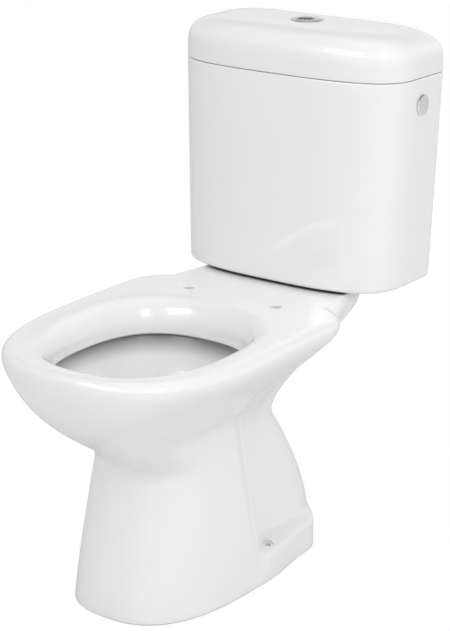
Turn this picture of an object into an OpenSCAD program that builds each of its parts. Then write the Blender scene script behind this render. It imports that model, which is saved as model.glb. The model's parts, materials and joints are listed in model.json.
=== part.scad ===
// Close coupled toilet: glazed china pan with a vertical outlet, and its cistern with a
// dual-flush valve and a side-inlet float valve.
// Origin: centre of the waste outlet, on the floor. +X to the sitter's left, -Y to the front,
// +Z up. Millimetres.

/* [Pan] */
// Height of the rim and the deck above the floor
rim_h = 391; // [370:1:420]
// Width over the rim
pan_w = 370; // [350:1:390]
// Front of the rim, forward of the outlet
rim_front = 437; // [420:1:460]
// Rear edge of the deck, behind the outlet
deck_back = 199; // [195:1:210]
// Width of the deck under the cistern
deck_w = 282; // [265:1:295]
// Radius of the rolled outer edge of the rim
rim_edge_r = 19; // [14:1:22]
// Thickness of the china
china = 11; // [9:0.5:13]

/* [Pedestal] */
// Width of the foot
foot_w = 235; // [220:1:250]
// Front of the foot, forward of the outlet
foot_front = 342; // [330:1:355]
// Back of the foot, behind the outlet
foot_back = 72; // [68:1:85]
// Top of the foot's side ledges
ledge_h = 42; // [36:1:48]
// Width of the body behind the side creases
recess_w = 168; // [160:1:176]
// Front of the waist, forward of the outlet
waist_front = 289; // [280:1:298]
// Height of the waist at the front
waist_front_h = 200; // [190:1:212]
// Height of the waist at the sides
waist_side_h = 257; // [248:1:266]
// Height of the narrow neck at the back
neck_h = 231; // [222:1:240]

/* [Bowl] */
// Width of the opening
open_w = 236; // [220:1:244]
// Front of the opening, forward of the outlet
open_front = 375; // [360:1:380]
// Back of the opening, forward of the outlet
open_back = 101; // [95:1:110]
// Drop of the rim's inner roll
roll_drop = 31; // [26:1:34]
// Reach of the rim's inner roll
roll_w = 44; // [38:1:45]
// Height of the flush slot at the back
slot_back = 17; // [10:1:20]
// Height of the flush slot at the front
slot_front = 5; // [4:1:8]

/* [Waste and fixings] */
// Outer radius of the outlet spigot
outlet_r = 51; // [50:0.5:52]
// Radius of the hinge holes for a seat
seat_hole_r = 7.5; // [6:0.5:8]
// Spacing of the hinge holes
seat_spacing = 155; // [140:1:165]
// Hinge holes, forward of the outlet
seat_hole_front = 43.6; // [38:0.2:50]
// Radius of the floor screw holes
floor_hole_r = 5; // [4:0.5:6]
// Floor screw holes, forward of the outlet
floor_hole_front = 94; // [90:1:96]
// Spacing of the floor screw holes
floor_spacing = 204; // [200:1:208]

/* [Cistern] */
// Gap between the deck and the cistern
cistern_gap = 3; // [2:0.5:5]
// Height of the cistern's body
cistern_h = 308; // [290:1:330]
// Half width at the bottom
cistern_a0 = 182; // [174:0.5:186]
// Half width at the lid
cistern_a1 = 191.5; // [186:0.5:196]
// Depth of the bowed front at the bottom
bow0 = 97.5; // [92:0.5:100]
// Depth of the bowed front at the lid
bow1 = 87; // [82:0.5:92]
// Back of the cistern, behind the outlet
cistern_back = 216; // [210:1:224]
// Thickness of the cistern's walls
cistern_wall = 9; // [8:0.5:10]
// Thickness of the cistern's floor
cistern_floor = 12; // [10:0.5:14]
// Height of the lid's dome
lid_h = 65; // [56:1:66]
// Thickness of the lid
lid_wall = 8; // [7:0.5:10]
// Spacing of the two coupling bolts
bolt_spacing = 150; // [140:1:160]

/* [Flush valve] */
// Radius of the valve's threaded tail
tail_r = 27; // [25:0.5:28]
// Radius of the valve seat's bore
seat_bore_r = 22; // [20:0.5:23]
// Outer radius of the overflow tube
tube_r = 16; // [15:0.5:17]
// Travel of both buttons
press = 6; // [5:0.5:6]
// Outer radius of the button's bezel
bezel_r = 23; // [22:0.5:24]

/* [Fill valve] */
// Height of the side holes above the floor of the cistern
side_hole_h = 269; // [255:1:275]
// Outer radius of the threaded inlet shank
shank_r = 10.48; // [10.3:0.02:10.6]
// Radius of the float
float_r = 24; // [20:0.5:25]
// Height of the float
float_h = 60; // [50:1:64]

/* [Hidden] */

glaze = [0.95, 0.95, 0.94];
chrome = [0.78, 0.79, 0.81];
plastic = [0.88, 0.89, 0.9];
rubber = [0.16, 0.16, 0.17];
brass = [0.8, 0.66, 0.36];
steel = [0.66, 0.67, 0.69];
fine = 64;

// ---- blending ----
function mix(a, b, t) = a + (b - a) * t;
function clamp01(t) = max(0, min(1, t));
function ease(t) = clamp01(t) * clamp01(t) * (3 - 2 * clamp01(t));
// soft start: flat at 0, straight from about e on
function soft(t, e) = (sqrt(t * t + e * e) - e) / (sqrt(1 + e * e) - e);
// swell: leaves 0 softly and rounds over into 1
function swell(t, p, e) = 1 - pow(1 - soft(clamp01(t), e), p);

// one quadrant of a superellipse: [0, 1] at t = 0 and [1, 0] at t = 90
function squircle(t, n) =
    let (s = max(sin(t), 0), c = max(cos(t), 0))
    [s, c] / pow(pow(s, n) + pow(c, n), 1 / n);

// ---- closed loops and their faces ----
// the right half of a loop, front to back, with its mirror image
function full_loop(half) = concat(half,
    [for (i = [len(half) - 2:-1:1]) [-half[i].x, half[i].y, half[i].z]]);
function tri_pair(a, b, c, d) = [[a, b, c], [a, c, d]];
function band(j0, j1, n) = [for (k = [0:n - 1])
    let (m = (k + 1) % n)
    each tri_pair(j0 * n + k, j1 * n + k, j1 * n + m, j0 * n + m)];
// a ring of loops closed on itself, as a torus is
module ring_skin(loops) {
    n = len(loops[0]);
    m = len(loops);
    polyhedron(
        points = [for (loop = loops) each loop],
        faces = [for (j = [0:m - 1]) each band(j, (j + 1) % m, n)],
        convexity = 10);
}
// a stack of loops closed by flat caps
module stack_skin(loops) {
    n = len(loops[0]);
    m = len(loops);
    polyhedron(
        points = [for (loop = loops) each loop],
        faces = concat(
            [[for (k = [0:n - 1]) k]],
            [for (j = [0:m - 2]) each band(j, j + 1, n)],
            [[for (k = [n - 1:-1:0]) (m - 1) * n + k]]),
        convexity = 10);
}

// ---- pan: outer skin ----
// Each horizontal section runs from the front middle round a superellipse to the widest
// point, along the side to the crease, in to the recessed body behind it, along that body
// and round a second superellipse to the back middle.
edge_z = rim_h - rim_edge_r;
step_h = 18;
front_bulge = 2.65;
back_bulge = 2.1;
deck_bulge = 1.65;
seg_front = 8;
seg_side = 2;
seg_step = 4;
seg_body = 3;
seg_back = 7;
k_wide = seg_front;
k_crease = k_wide + seg_side;
k_body = k_crease + seg_step;
k_heel = k_body + seg_body;
k_last = k_heel + seg_back;

// sections: [front y, widest half width, its y, crease x, crease y,
//            body x, body y, heel half width, heel y, back y]
foot_sec = [-foot_front, foot_w / 2, -141, foot_w / 2 + 0.5, -125,
    foot_w / 2 + 0.5, -107, foot_w / 2 - 12, 5, foot_back];
heel_sec = [0, 0, 0, 0, 0, recess_w / 2, -109, recess_w / 2 + 5, -1, foot_back + 11];
waist_sec = [-waist_front, foot_w / 2 - 19, -178, foot_w / 2 - 27.5, -146,
    recess_w / 2 - 2, -135, recess_w / 2 - 7.5, -65, -14];
rim_sec = [-rim_front, pan_w / 2, -191, pan_w / 2, -60,
    deck_w / 2 + 6, 5, deck_w / 2 - 12.5, 83, deck_back];

function front_rail(i, z) =
    let (waist_h = i == 0 ? waist_front_h : waist_side_h)
    z < waist_h
        ? mix(foot_sec[i], waist_sec[i], pow(z / waist_h, i == 0 ? 1.3 : 1))
        : mix(waist_sec[i], rim_sec[i], i == 0
            ? swell((z - waist_h) / (edge_z - waist_h), 2.4, 0.22)
            : swell((z - waist_h) / (edge_z - waist_h), 1.15, 0.15));
function back_rail(i, z) =
    let (step_top = ledge_h + step_h, rise = clamp01((z - step_top) / (neck_h - step_top)))
    z < step_top ? mix(foot_sec[i], heel_sec[i], ease((z - ledge_h) / step_h))
        : z < neck_h ? mix(heel_sec[i], waist_sec[i], i >= 8 ? pow(rise, 1.46) : rise)
        : mix(waist_sec[i], rim_sec[i], swell((z - neck_h) / (edge_z - neck_h), 1.22, 0.45));
function rail(i, z) = i < 5 ? front_rail(i, z) : back_rail(i, z);
// The section at a height is a mean over the heights near it, so the side runs into the rolled
// edge without a hard line. The mean reaches less far near the top and near the ledges.
side_soft = 18;
mean_at = [-0.8, -0.5, -0.25, 0, 0.25, 0.5, 0.8];
mean_share = [0.05, 0.13, 0.2, 0.24, 0.2, 0.13, 0.05];
mean_from = ledge_h + step_h + 30;
function mean_reach(z) = max(min(side_soft, rim_h - z, (z - mean_from) / 2), 0);
function section(z) = let (r = mean_reach(z))
    [for (i = [0:9]) [for (t = mean_at) rail(i, min(z + t * r, edge_z))] * mean_share];
// how far the rolled edge draws the section in
function edge_in(z) = let (r = mean_reach(z))
    [for (t = mean_at) let (u = clamp01((z + t * r - edge_z) / rim_edge_r))
        rim_edge_r * (1 - sqrt(1 - u * u))] * mean_share;
// the same section, drawn in by d, with the crease moved forward so the step keeps its wall;
// rear is the share of d that the back of the deck takes
function drawn_in(s, d, rear = 1) = [s[0] + d, s[1] - d, s[2], s[3] - d, s[4] - 0.7 * d,
    s[5] - d, s[6] - 0.7 * d, s[7] - rear * d, s[8], s[9] - rear * d];

// a cubic step from [xa, ya] to [xb, yb], square to X at both ends
function s_step(xa, ya, xb, yb, t) = [mix(xa, xb, ease(t)), mix(ya, yb, t)];
// a quarter round between the same points, square to Y at its end
function corner_step(xa, ya, xb, yb, t) = [mix(xa, xb, 1 - cos(90 * t)), mix(ya, yb, sin(90 * t))];
// c is the share of the quarter round in the step in
function section_point(s, k, n = back_bulge, c = 0) =
    k <= k_wide ?
        let (q = squircle(90 * k / seg_front, front_bulge))
        [s[1] * q.x, s[2] - (s[2] - s[0]) * q.y]
    : k <= k_crease ? s_step(s[1], s[2], s[3], s[4], (k - k_wide) / seg_side)
    : k <= k_body ? let (t = (k - k_crease) / seg_step)
        mix(s_step(s[3], s[4], s[5], s[6], t), corner_step(s[3], s[4], s[5], s[6], t), c)
    : k <= k_heel ? s_step(s[5], s[6], s[7], s[8], (k - k_body) / seg_body)
    : let (q = squircle(90 * (k - k_heel) / seg_back, n))
        [s[7] * q.y, s[8] + (s[9] - s[8]) * q.x];

// the back is round at the neck and turns to a blunt wedge at the deck
function back_shape(z) = mix(back_bulge, deck_bulge, clamp01((z - neck_h) / (edge_z - neck_h)));
// the step in is a soft one down the side and turns to a round shoulder at the rim
shoulder = 0.82;
function shoulder_share(z) = shoulder * ease((z - waist_side_h) / (edge_z - waist_side_h));
function skin_loop(z) =
    let (s = drawn_in(section(z), edge_in(z), 0.35), n = back_shape(z), c = shoulder_share(z))
    full_loop([for (k = [0:k_last]) [each section_point(s, k, n, c), z]]);
skin_heights = [0, 21, ledge_h, ledge_h + 6, ledge_h + 12, ledge_h + step_h, 85, 115, 145, 172,
    waist_front_h, 216, neck_h, 244, waist_side_h, 270, 285, 302, 320, 336, 350, 362,
    for (a = [0, 20, 40, 56, 72, 90]) edge_z + rim_edge_r * sin(a)];

// ---- pan: rim and bowl ----
open_mid_y = -230;
open_bulge = 2.5;
lip_z = rim_h - roll_drop;
lip_t = 10;
channel_top = rim_h - 12;
channel_w = 30;
// share of the way round, front to back
function turn(k) = k <= k_wide ? 90 * k / k_wide : 90 + 90 * (k - k_wide) / (k_last - k_wide);
// egg: front y, back y, half width, y of the widest point
function egg_point(yf, yb, a, ym, k, n = open_bulge) =
    let (t = turn(k), q = squircle(t <= 90 ? t : 180 - t, n))
    [a * q.x, ym + (t <= 90 ? (yf - ym) : (yb - ym)) * q.y];
function open_loop(d, z) = full_loop([for (k = [0:k_last])
    [each egg_point(-open_front - d, -open_back + d, open_w / 2 + d, open_mid_y, k), z]]);
function slot_z(k) = lip_z - mix(slot_front, slot_back, (1 - cos(turn(k))) / 2);
function slot_loop(d) = full_loop([for (k = [0:k_last])
    [each egg_point(-open_front - d, -open_back + d, open_w / 2 + d, open_mid_y, k), slot_z(k)]]);
function roll_loop(a) = open_loop(roll_w * (1 - sin(a)), lip_z + roll_drop * cos(a));
function bowl_loop(yf, yb, a, z) = full_loop([for (k = [0:k_last])
    [each egg_point(yf, yb, a, mix(yf, yb, 0.53), k, 2.3), z]]);

// ---- pan: trap ----
// a loop across the waterway between two points of the middle plane, p below and q above
function trap_loop(p, q, a) = full_loop([for (k = [0:k_last])
    let (t = turn(k), m = (1 - cos(t)) / 2)
    [a * sin(t), mix(p.x, q.x, m), mix(p.y, q.y, m)]]);
outlet_bore = outlet_r - 8;
trap_in_r = outlet_bore - 2;
web_z = 80;
trap_a = 42;

// ---- pan: hidden side of the pedestal ----
hollow_front_h = 182;
hollow_side_h = 200;
hollow_back_h = 92;
// block of china round the waterway: front, back, half width, half width behind
block_front = 258;
block_back = 57;
block_a = 62;
block_a_back = 55;
function ceiling(k) = k <= k_wide ? mix(hollow_front_h, hollow_side_h, k / k_wide)
    : k <= k_body ? hollow_side_h
    : mix(hollow_side_h, hollow_back_h, ease((k - k_body) / (k_last - k_body)));
function inner_z(k, f) = f * ceiling(k);
// the ledge is as thick as the wall, so the inside follows it lower down
function inner_point(k, f, d) =
    let (z = inner_z(k, f), skin_z = z < 20 ? z : z < ledge_h + step_h
        ? min(z + china, ledge_h + step_h) : z)
    [each section_point(drawn_in(section(skin_z), d), k), z];
function inner_loop(f, d) = full_loop([for (k = [0:k_last]) inner_point(k, f, d)]);
// the block round the waterway
function block_point(yf, yb, a, a_back, k) =
    section_point([yf, a, -178, a - 3, -146, a_back + 2, -135, a_back, -20, yb], k);
function block_loop(yf, yb, a, a_back, z_front, z_back) = full_loop([for (k = [0:k_last])
    [each block_point(yf, yb, a, a_back, k),
        mix(z_front, z_back, ease((k - k_body) / (k_last - k_body)))]]);
function ceiling_loop() = full_loop([for (k = [0:k_last])
    [each block_point(-block_front, block_back, block_a, block_a_back, k), ceiling(k)]]);

module pan_shell() {
    ring_skin(concat(
        [for (z = skin_heights) skin_loop(z)],
        [for (a = [0, 26, 50, 72, 90]) roll_loop(a)],
        [open_loop(lip_t / 2, lip_z - 3), open_loop(lip_t, lip_z),
            open_loop(lip_t, channel_top), open_loop(channel_w, channel_top),
            slot_loop(channel_w), slot_loop(3)],
        [bowl_loop(-374, -110, 113, 326), bowl_loop(-366, -121, 103, 300),
            bowl_loop(-342, -132, 84, 268), bowl_loop(-303, -138, 71, 238),
            bowl_loop(-268, -140, 61, 208), bowl_loop(-247, -140, 53, 184)],
        [trap_loop([-236, 160], [-139, 172], 49), trap_loop([-212, 130], [-136, 168], 45),
            trap_loop([-165, 113], [-130, 166], trap_a), trap_loop([-118, 120], [-126, 170], trap_a),
            trap_loop([-90, 150], [-124, 190], trap_a), trap_loop([-76, 186], [-121, 222], trap_a),
            trap_loop([-69, 218], [-110, 262], trap_a), trap_loop([-64, 223], [-70, 280], trap_a),
            trap_loop([-59, 216], [-36, 258], trap_a), trap_loop([-54, 190], [-12, 206], trap_a),
            trap_loop([-48, 150], [16, 165], trap_a), trap_loop([-44, 118], [34, 128], trap_a),
            trap_loop([-trap_in_r, 97], [trap_in_r, 97], trap_in_r),
            trap_loop([-trap_in_r, web_z], [trap_in_r, web_z], trap_in_r)],
        [trap_loop([-outlet_r - 4, web_z], [outlet_r + 4, web_z], outlet_r + 4),
            block_loop(33 - block_front, block_back - 1, block_a - 8, block_a_back, 100, 84),
            block_loop(8 - block_front, block_back - 1, block_a - 3, block_a_back, 142, 88),
            ceiling_loop()],
        [for (f = [1, 0.82, 0.64, 0.48, 0.36, 0.26, 0.14, 0]) inner_loop(f, china)]));
}

// ---- sizes shared by the pan and the cistern ----
cist_z = rim_h + cistern_gap;
seam_z = cist_z + cistern_h;
floor_z = cist_z + cistern_floor;
bow_y = cistern_back - 74.2;
valve_y = bow_y + 1.5;
bolt_x = bolt_spacing / 2;
nut_r = tail_r + 8;
washer_out = nut_r + 6;
recess_depth = 11;
recess_z = rim_h - recess_depth;
duct_z = recess_z - 16;
duct_h = 12;
duct_w = 70;
bolt_seat_z = rim_h - 27;
seat_void_r = 24;
seat_void_h = 44;
bolt_hole_r = 5.5;

module at_bolts() {
    for (side = [-1, 1]) translate([side * bolt_x, valve_y, 0]) children();
}

module pan() color(glaze) {
    difference() {
        union() {
            pan_shell();
            cylinder(h = web_z + 0.5, r = outlet_r, $fn = 96);
        }
        translate([0, 0, -1]) cylinder(h = web_z + 15, r = outlet_bore, $fn = 96);
        // seat hinge holes, which open into the hollow deck
        for (side = [-1, 1]) translate([side * seat_spacing / 2, -seat_hole_front, 0]) {
            translate([0, 0, rim_h - 13]) cylinder(h = 20, r = seat_hole_r, $fn = fine);
            translate([0, 0, rim_h - 12 - seat_void_h])
                cylinder(h = seat_void_h, r = seat_void_r, $fn = fine);
        }
        // floor screw holes and their flat seats on the ledges
        for (side = [-1, 1]) translate([side * floor_spacing / 2, -floor_hole_front, 0]) {
            translate([0, 0, 15]) cylinder(h = 60, r = floor_hole_r, $fn = fine);
            translate([0, 0, ledge_h + 5]) cylinder(h = 30, r = floor_hole_r + 3.5, $fn = fine);
        }
        // flush inlet, with the recess that holds the coupling washer, and its waterway
        translate([0, valve_y, recess_z]) cylinder(h = 40, r = washer_out + 0.5, $fn = 96);
        translate([0, valve_y, duct_z]) cylinder(h = 40, r = tail_r + 2, $fn = 96);
        translate([-duct_w / 2, -open_back + channel_w - 6, duct_z])
            cube([duct_w, valve_y + open_back - channel_w + 6, duct_h]);
        // coupling bolt holes, with flat seats under the deck
        at_bolts() {
            translate([0, 0, bolt_seat_z - 40]) cylinder(h = 80, r = bolt_hole_r + 0.5, $fn = fine);
            translate([0, 0, bolt_seat_z - 30]) cylinder(h = 30, r = 17, $fn = fine);
        }
    }
}

// ---- cistern ----
cist_bulge = 3.06;
cist_corner0 = 19;
cist_corner1 = 9;
seg_bow = 11;
function cist_half(a, bow, d, z, corner = cist_corner1) =
    let (r = max(corner - d, 2), ax = a - d, yb = cistern_back - d)
    concat(
        [for (i = [0:seg_bow]) let (q = squircle(90 * i / seg_bow, cist_bulge))
            [ax * q.x, bow_y - (bow - d) * q.y, z]],
        [for (t = [0:30:90]) [ax - r + r * cos(t), yb - r + r * sin(t), z]],
        [[0, yb, z]]);
function cist_loop(d, z) =
    let (f = (z - cist_z) / cistern_h)
    full_loop(cist_half(mix(cistern_a0, cistern_a1, f), mix(bow0, bow1, f), d, z,
        mix(cist_corner0, cist_corner1, f)));
side_tilt = atan((cistern_a1 - cistern_a0) / cistern_h);
side_z = cist_z + side_hole_h;
side_y = valve_y + 12.6;
side_hole_r = shank_r + 1;
// outer half width of the side wall at the side holes
side_x = mix(cistern_a0, cistern_a1, side_hole_h / cistern_h);
flat_out = side_x - 0.8;
flat_in = side_x - cistern_wall + 0.6;

module along_x(x, y, z) translate([x, y, z]) rotate([0, 90, 0]) children();

module cistern() color(glaze) {
    difference() {
        stack_skin([
            cist_loop(6, cist_z), cist_loop(2.6, cist_z + 0.9), cist_loop(0.7, cist_z + 3),
            cist_loop(0, cist_z + 6), cist_loop(0, seam_z - 2), cist_loop(0.6, seam_z - 0.6),
            cist_loop(2, seam_z), cist_loop(cistern_wall - 2, seam_z),
            cist_loop(cistern_wall, seam_z - 2), cist_loop(cistern_wall, floor_z + 14),
            cist_loop(cistern_wall + 4, floor_z + 4), cist_loop(cistern_wall + 14, floor_z)]);
        translate([0, valve_y, cist_z - 1])
            cylinder(h = cistern_floor + 2, r = tail_r + 1.5, $fn = 96);
        at_bolts() translate([0, 0, cist_z - 1])
            cylinder(h = cistern_floor + 2, r = bolt_hole_r, $fn = fine);
        // inlet hole, with flats for its nut and washer
        along_x(-side_x - 10, side_y, side_z) cylinder(h = 30, r = side_hole_r, $fn = fine);
        along_x(-flat_out - 10, side_y, side_z) cylinder(h = 10, r = 19, $fn = fine);
        along_x(-flat_in, side_y, side_z) cylinder(h = 10, r = 19, $fn = fine);
        // the spare hole opposite, square to the wall
        translate([side_x, side_y, side_z]) rotate([0, 90 + side_tilt, 0])
            translate([0, 0, -20]) cylinder(h = 30, r = side_hole_r, $fn = fine);
    }
}

// ---- lid ----
lid_gap = 0.4;
lid_base = seam_z + lid_gap;
lid_mid_y = bow_y + 14;
lip_clear = 1.5;
lip_wall = 5;
lip_drop = 8;
button_z = lid_base + lid_h - 1.4;
bezel_hole_r = bezel_r - 2.6;
boss_z = button_z - 10;
// share of the dome's reach at a share of its height
function dome_reach(f) = pow(1 - pow(f, 4.6), 1 / 6);
dome_steps = [0.3, 0.5, 0.66, 0.78, 0.87, 0.93, 0.97, 0.99, 0.999];
function lid_loop(d, z, s = 1) = full_loop([for (p = cist_half(cistern_a1, bow1, d, z))
    [p.x * s, lid_mid_y + (p.y - lid_mid_y) * s, z]]);
function dome_loop(d, f) = lid_loop(d, lid_base + (lid_h - d) * f, dome_reach(f));

module cistern_lid() color(glaze) {
    difference() {
        union() {
            stack_skin(concat(
                [for (i = [len(dome_steps) - 1:-1:0]) dome_loop(lid_wall, dome_steps[i])],
                [lid_loop(cistern_wall + lip_clear + lip_wall, lid_base + 6),
                    lid_loop(cistern_wall + lip_clear + lip_wall, lid_base - lip_drop),
                    lid_loop(cistern_wall + lip_clear, lid_base - lip_drop),
                    lid_loop(cistern_wall + lip_clear, lid_base),
                    lid_loop(1.6, lid_base), lid_loop(0, lid_base + 2)],
                [for (f = dome_steps) dome_loop(0, f)]));
            translate([0, valve_y, boss_z]) cylinder(h = 6, r = 30, $fn = fine);
        }
        translate([0, valve_y, boss_z - 1]) cylinder(h = 30, r = bezel_hole_r, $fn = 96);
        translate([0, valve_y, button_z]) cylinder(h = 10, r = bezel_r + 1, $fn = 96);
    }
}

// ---- turned pieces ----
// a disc with both rims chamfered by c
module disc(r, h, c = 0.6) {
    rotate_extrude($fn = fine) polygon([[0, 0], [r - c, 0], [r, c], [r, h - c], [r - c, h], [0, h]]);
}
module ring(r_in, r_out, h) {
    difference() {
        cylinder(h = h, r = r_out, $fn = fine);
        translate([0, 0, -1]) cylinder(h = h + 2, r = r_in, $fn = fine);
    }
}
// a coil of round wire, standing on z = 0
module coil(r, wire, h, turns) {
    steps = 14 * turns;
    sides = 6;
    function centre(i) = let (a = 360 * turns * i / steps)
        [r * cos(a), r * sin(a), wire / 2 + (h - wire) * i / steps];
    loops = [for (i = [0:steps]) let (c = centre(i), a = 360 * turns * i / steps)
        [for (s = [0:sides - 1]) let (b = -360 * s / sides)
            [c.x + wire / 2 * cos(b) * cos(a), c.y + wire / 2 * cos(b) * sin(a),
                c.z + wire / 2 * sin(b)]]];
    stack_skin(loops);
}

// ---- dual-flush button ----
sleeve_r = bezel_hole_r - 0.5;
cup_r = sleeve_r - 1.3;
cup_depth = 26;
run = 0.3;
half_button_x = -2.6;
half_button_r = 13.5;
// gap between the two buttons
button_gap = 0.5;
full_rod_x = 13.6;
half_rod_x = -7;
rod_r = 2;
collar_r = 4.3;
button_t = 4;
collar_drop = 14;
spring_h = cup_depth - collar_drop - 0.3;
arm_x = 42;
arm_drop = 38;
arm_t = 4;

module at_button() translate([0, valve_y, button_z]) children();

module button_bezel() color(chrome) at_button() {
    difference() {
        union() {
            disc(bezel_r, 2.6, 1.1);
            translate([0, 0, -cup_depth - 2]) cylinder(h = cup_depth + 3, r = sleeve_r, $fn = fine);
        }
        translate([0, 0, -cup_depth]) cylinder(h = cup_depth + 10, r = cup_r, $fn = fine);
        for (x = [full_rod_x, half_rod_x]) translate([x, 0, -cup_depth - 5])
            cylinder(h = 10, r = rod_r + run, $fn = 32);
    }
}

module bezel_nut() color(plastic) translate([0, valve_y, boss_z - 8]) ring(sleeve_r + 0.1, 27, 8);

module full_flush_button() color(chrome) at_button() {
    difference() {
        translate([0, 0, -button_t]) disc(cup_r - run, button_t + 3.2, 0.9);
        translate([half_button_x, 0, -button_t - 1])
            cylinder(h = 12, r = half_button_r + button_gap, $fn = fine);
    }
}

module half_flush_button() color(chrome) at_button() translate([half_button_x, 0, 0]) {
    dome = 3;
    // radius of the sphere that the domed top is part of
    dome_r = (half_button_r * half_button_r + dome * dome) / (2 * dome);
    translate([0, 0, -button_t]) cylinder(h = button_t + 3, r = half_button_r, $fn = fine);
    rotate_extrude($fn = fine) polygon(concat([[0, 2.5], [half_button_r, 2.5]],
        [for (i = [0:8]) let (r = half_button_r * (1 - i / 8))
            [r, 3 + sqrt(dome_r * dome_r - r * r) - dome_r + dome]]));
}

// a stem under its button, with a spring collar and an arm out to the valve
module press_rod(rod_x, side, foot_z) {
    translate([rod_x, 0, -arm_drop]) cylinder(h = arm_drop - button_t, r = rod_r, $fn = 32);
    translate([rod_x, 0, -collar_drop]) cylinder(h = 2, r = collar_r, $fn = 32);
    reach = side * arm_x - rod_x;
    translate([min(rod_x, side * arm_x), -2.5, -arm_drop]) cube([abs(reach), 5, arm_t]);
    translate([side * arm_x, 0, foot_z]) cylinder(h = -arm_drop + arm_t - foot_z, r = 2.5, $fn = 32);
}
module full_flush_rod() color(plastic) at_button() press_rod(full_rod_x, 1, foot_z);
module half_flush_rod() color(plastic) at_button() press_rod(half_rod_x, -1, foot_z);
module button_spring(x) at_button() translate([x, 0, -cup_depth]) coil(3.2, 0.9, spring_h, 4);
module full_button_spring() color(steel) button_spring(full_rod_x);
module half_button_spring() color(steel) button_spring(half_rod_x);

// ---- flush valve ----
base_z = floor_z + 3;
base_t = 4.6;
base_r = tail_r + 15;
seat_z = base_z + 9;
seal_t = 3;
lift_gap = 0.3;
tube_z = seat_z + lift_gap + seal_t;
overflow_h = 219;
tube_flange_r = 30;
lift_collar_r = 24;
lift_collar_z = tube_z + overflow_h - 10;
rocker_z = lift_collar_z - 2.6;
rocker_arm = 12;
rocker_x = arm_x - rocker_arm;
rocker_t = 4;
rocker_pin_l = 40;
// lower end of the stems, just above the rocker
foot_z = rocker_z + rocker_t / 2 + 1.2 - button_z;
pin_r = 1.5;
plate_z = rocker_z - 38;
plate_r = 40;
post_at = 36.5;

module at_valve(z = 0) translate([0, valve_y, z]) children();

module flush_valve_base() color(plastic) at_valve() {
    difference() {
        union() {
            translate([0, 0, recess_z - 4]) cylinder(h = base_z - recess_z + 5, r = tail_r, $fn = 96);
            translate([0, 0, base_z]) cylinder(h = base_t, r = base_r, $fn = 96);
            translate([0, 0, base_z]) cylinder(h = seat_z - base_z, r = seat_bore_r + 3.5, $fn = 96);
        }
        translate([0, 0, recess_z - 10]) cylinder(h = 60, r = seat_bore_r, $fn = 96);
    }
}
module valve_base_washer() color(rubber) at_valve(floor_z) ring(tail_r + 0.2, base_r, 3);
module flush_valve_nut() color(plastic) at_valve(cist_z - recess_depth) difference() {
    cylinder(h = recess_depth, r = nut_r, $fn = 8);
    translate([0, 0, -1]) cylinder(h = recess_depth + 2, r = tail_r + 0.05, $fn = 96);
}
module close_coupling_washer() color(rubber) at_valve(recess_z)
    ring(nut_r + 0.4, washer_out, recess_depth + cistern_gap);

module flush_valve_cage() color(plastic) at_valve() {
    difference() {
        union() {
            translate([0, 0, base_z + base_t]) ring(post_at - 2.5, plate_r + 1, 6);
            for (a = [45:90:315]) rotate(a) translate([post_at, 0, base_z + base_t])
                cylinder(h = plate_z - base_z, r = 2.8, $fn = 24);
            translate([0, 0, plate_z]) cylinder(h = 5, r = plate_r, $fn = fine);
            // ears for the rocker's pin
            for (side = [-1, 1]) translate([rocker_x - 4, side * 16.5 - 2, plate_z])
                cube([8, 4, rocker_z - plate_z + 5]);
            // guide for the half-flush link
            translate([-arm_x - 6, -6, plate_z - 30]) cube([12, 12, 35]);
        }
        translate([0, 0, plate_z - 1]) cylinder(h = 7, r = tube_r + 1.2, $fn = fine);
        translate([rocker_x, 0, rocker_z]) rotate([90, 0, 0])
            cylinder(h = 60, r = pin_r + 0.02, center = true, $fn = 32);
        translate([-arm_x, 0, plate_z - 40]) cylinder(h = 60, r = 3.3, $fn = 32);
    }
}

module overflow_tube() color(plastic) at_valve() difference() {
    union() {
        translate([0, 0, tube_z]) cylinder(h = overflow_h, r = tube_r, $fn = fine);
        translate([0, 0, tube_z]) cylinder(h = 3, r = tube_flange_r, $fn = fine);
        translate([0, 0, lift_collar_z]) cylinder(h = 2.6, r = lift_collar_r, $fn = fine);
    }
    translate([0, 0, tube_z - 1]) cylinder(h = overflow_h + 2, r = tube_r - 2, $fn = fine);
}
module valve_seal() color(rubber) at_valve(seat_z + lift_gap) ring(tube_r - 2, tube_flange_r - 1, seal_t);

// rocker: two arms on the pin, joined at the outer end, their inner ends under the collar
module full_flush_rocker() color(plastic) at_valve(rocker_z) translate([rocker_x, 0, 0]) {
    difference() {
        union() {
            for (side = [-1, 1]) translate([0, side * 11, 0]) {
                translate([-rocker_arm, -1.5, -rocker_t / 2]) cube([2 * rocker_arm + 3, 3, rocker_t]);
                rotate([90, 0, 0]) cylinder(h = 3, r = 3.5, center = true, $fn = 32);
            }
            translate([rocker_arm - 3, -12.5, -rocker_t / 2]) cube([6, 25, rocker_t]);
        }
        rotate([90, 0, 0]) cylinder(h = 60, r = pin_r + 0.05, center = true, $fn = 32);
    }
}
module rocker_pin() color(steel) at_valve(rocker_z) translate([rocker_x, 0, 0])
    rotate([90, 0, 0]) cylinder(h = rocker_pin_l, r = pin_r, center = true, $fn = 32);

link_l = 90;
link_hook = 12;
module half_flush_link() color(plastic) at_valve() translate([-arm_x, 0, 0]) {
    translate([0, 0, rocker_z - link_l]) cylinder(h = link_l, r = 3, $fn = 32);
    translate([0, 0, rocker_z - 2]) cylinder(h = 4, r = 5, $fn = 32);
    translate([-3, -5, rocker_z - link_l]) cube([link_hook, 10, 4]);
}

// ---- float valve on the inlet side ----
washer_t = 2.5;
nut_t = 8;
// the shank is necked inside its nut and its hole
neck_r = shank_r - 0.8;
body_end_x = 130;
cap_end_x = 118;
outlet_x = 150;
pivot_x = 122;
pivot_up = 22;
float_x = 78;
float_drop = 13;

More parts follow.
